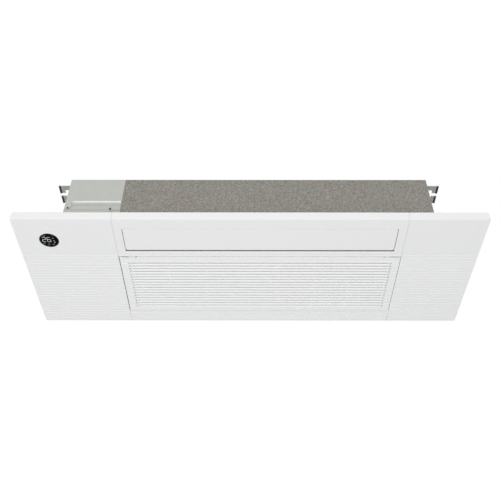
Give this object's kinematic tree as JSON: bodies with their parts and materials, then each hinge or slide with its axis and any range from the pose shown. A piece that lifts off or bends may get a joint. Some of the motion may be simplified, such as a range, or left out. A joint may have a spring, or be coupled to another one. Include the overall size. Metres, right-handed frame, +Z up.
{
  "type": "ceiling cassette air conditioner",
  "caption": "One-way ceiling cassette with a flat panel, swinging louver blade, hinged slotted intake grille and a recessed metal body on hanger brackets.",
  "frame": {"origin": "centre of the panel's underside", "axes": "+X along the panel towards the pipe end, -Y at the air outlet edge, +Z up into the ceiling"},
  "size_m": [1.2, 0.418, 0.176],
  "materials": {
    "white_panel": "fine satin moulded white",
    "white_blade": "smooth satin white",
    "black_gloss": "gloss black",
    "black_lens": "gloss smoked",
    "circuit_board": "green board",
    "zinc_screw": "zinc plated",
    "spring_steel": "spring steel",
    "filter_plastic": "moulded grey",
    "filter_net": "woven net",
    "motor_plastic": "moulded",
    "black_plastic": "moulded black",
    "fan_plastic": "moulded dark grey",
    "shaft_steel": "ground steel",
    "motor_case": "dark motor case",
    "bearing_rubber": "rubber-mounted bush",
    "duct_foam": "moulded foam",
    "fin_aluminium": "pressed fins",
    "copper": "drawn copper tube",
    "galvanised": "galvanised sheet",
    "pan_plastic": "moulded",
    "pump_plastic": "moulded",
    "float_foam": "closed foam",
    "drain_plastic": "hose and spigot",
    "brass_nut": "forged brass",
    "felt": "mottled grey felt",
    "terminal_plastic": "moulded"
  },
  "bodies": {
    "root": {"panel_frame": "white_panel", "left_cover": "white_panel", "right_cover": "white_panel", "display_bezel": "black_gloss", "display_lens": "black_lens", "display_board": "circuit_board", "panel_screws": "zinc_screw", "grille_pins": "zinc_screw", "grille_catches": "spring_steel", "louver_motor": "motor_plastic", "vane_rail": "black_plastic", "vane_motor": "motor_plastic", "fan_motor": "motor_case", "fan_bearing": "bearing_rubber", "fan_scroll": "duct_foam", "duct_floor": "duct_foam", "coil_fins": "fin_aluminium", "coil_tubes": "copper", "coil_end_plates": "galvanised", "drain_pan": "pan_plastic", "drain_pump": "pump_plastic", "float_stem": "pump_plastic", "drain_pipe": "drain_plastic", "gas_pipe": "copper", "liquid_pipe": "copper", "flare_nuts": "brass_nut", "casing_top": "galvanised", "casing_front": "galvanised", "casing_rear": "galvanised", "casing_left": "galvanised", "casing_right": "galvanised", "casing_base": "galvanised", "front_insulation": "felt", "left_partition": "galvanised", "right_partition": "galvanised", "hanger_brackets": "galvanised", "control_box": "galvanised", "control_cover": "galvanised", "terminal_cover": "galvanised", "control_board": "circuit_board", "terminal_block": "terminal_plastic", "cable_gland": "black_plastic", "cover_screws": "zinc_screw"},
    "grille": {"intake_grille": "white_panel"},
    "filter": {"filter_frame": "filter_plastic", "filter_mesh": "filter_net"},
    "louver": {"louver_blade": "white_blade"},
    "fan": {"fan_rotor": "fan_plastic", "fan_shafts": "shaft_steel"},
    "vane_drive": {"vane_crank": "black_plastic"},
    "link_bar": {"vane_link": "black_plastic"},
    "impeller": {"pump_impeller": "pump_plastic"},
    "float": {"float_ring": "float_foam"},
    "vane_1": {"vane_1": "black_plastic"},
    "vane_2": {"vane_2": "black_plastic"},
    "vane_3": {"vane_3": "black_plastic"},
    "vane_4": {"vane_4": "black_plastic"},
    "vane_5": {"vane_5": "black_plastic"},
    "vane_6": {"vane_6": "black_plastic"},
    "vane_7": {"vane_7": "black_plastic"}
  },
  "joints": [
    {"name": "louver_swing", "type": "hinge", "parent": "root", "child": "louver", "pos_m": [0, -0.099, 0.007], "axis": [1, 0, 0], "range_deg": [0, 60]},
    {"name": "vane_drive_swing", "type": "hinge", "parent": "root", "child": "vane_drive", "pos_m": [-0.3592, -0.08015, 0.04549], "axis": [0, -0.6497, 0.7602], "range_deg": [-30, 30]},
    {"name": "link_swing", "type": "hinge", "parent": "vane_drive", "child": "link_bar", "pos_m": [-0.3592, -0.09079, 0.03639], "axis": [0, -0.6497, 0.7602], "range_deg": [-30, 30]},
    {"name": "vane_1_swing", "type": "hinge", "parent": "root", "child": "vane_1", "pos_m": [-0.263, -0.08015, 0.04549], "axis": [0, -0.6497, 0.7602], "range_deg": [-30, 30]},
    {"name": "vane_2_swing", "type": "hinge", "parent": "root", "child": "vane_2", "pos_m": [-0.168, -0.08015, 0.04549], "axis": [0, -0.6497, 0.7602], "range_deg": [-30, 30]},
    {"name": "vane_3_swing", "type": "hinge", "parent": "root", "child": "vane_3", "pos_m": [-0.073, -0.08015, 0.04549], "axis": [0, -0.6497, 0.7602], "range_deg": [-30, 30]},
    {"name": "vane_4_swing", "type": "hinge", "parent": "root", "child": "vane_4", "pos_m": [0.022, -0.08015, 0.04549], "axis": [0, -0.6497, 0.7602], "range_deg": [-30, 30]},
    {"name": "vane_5_swing", "type": "hinge", "parent": "root", "child": "vane_5", "pos_m": [0.117, -0.08015, 0.04549], "axis": [0, -0.6497, 0.7602], "range_deg": [-30, 30]},
    {"name": "vane_6_swing", "type": "hinge", "parent": "root", "child": "vane_6", "pos_m": [0.212, -0.08015, 0.04549], "axis": [0, -0.6497, 0.7602], "range_deg": [-30, 30]},
    {"name": "vane_7_swing", "type": "hinge", "parent": "root", "child": "vane_7", "pos_m": [0.307, -0.08015, 0.04549], "axis": [0, -0.6497, 0.7602], "range_deg": [-30, 30]},
    {"name": "fan_spin", "type": "hinge", "parent": "root", "child": "fan", "pos_m": [0, -0.07, 0.11], "axis": [1, 0, 0], "continuous": true},
    {"name": "grille_hinge", "type": "hinge", "parent": "root", "child": "grille", "pos_m": [0, -0.0675, 0.0022], "axis": [-1, 0, 0], "range_deg": [0, 85]},
    {"name": "filter_lift", "type": "slide", "parent": "grille", "child": "filter", "axis": [0, 0, 1], "range_m": [0, 0.01]},
    {"name": "pump_spin", "type": "hinge", "parent": "root", "child": "impeller", "pos_m": [0.429, 0.006, 0.066], "axis": [0, 0, 1], "continuous": true},
    {"name": "float_rise", "type": "slide", "parent": "root", "child": "float", "axis": [0, 0, 1], "range_m": [0, 0.01]}
  ],
  "couplings": [
    {"joint": "link_swing", "follows": "vane_drive_swing", "ratio": -1},
    {"joint": "vane_1_swing", "follows": "vane_drive_swing", "ratio": 1},
    {"joint": "vane_2_swing", "follows": "vane_drive_swing", "ratio": 1},
    {"joint": "vane_3_swing", "follows": "vane_drive_swing", "ratio": 1},
    {"joint": "vane_4_swing", "follows": "vane_drive_swing", "ratio": 1},
    {"joint": "vane_5_swing", "follows": "vane_drive_swing", "ratio": 1},
    {"joint": "vane_6_swing", "follows": "vane_drive_swing", "ratio": 1},
    {"joint": "vane_7_swing", "follows": "vane_drive_swing", "ratio": 1}
  ]
}
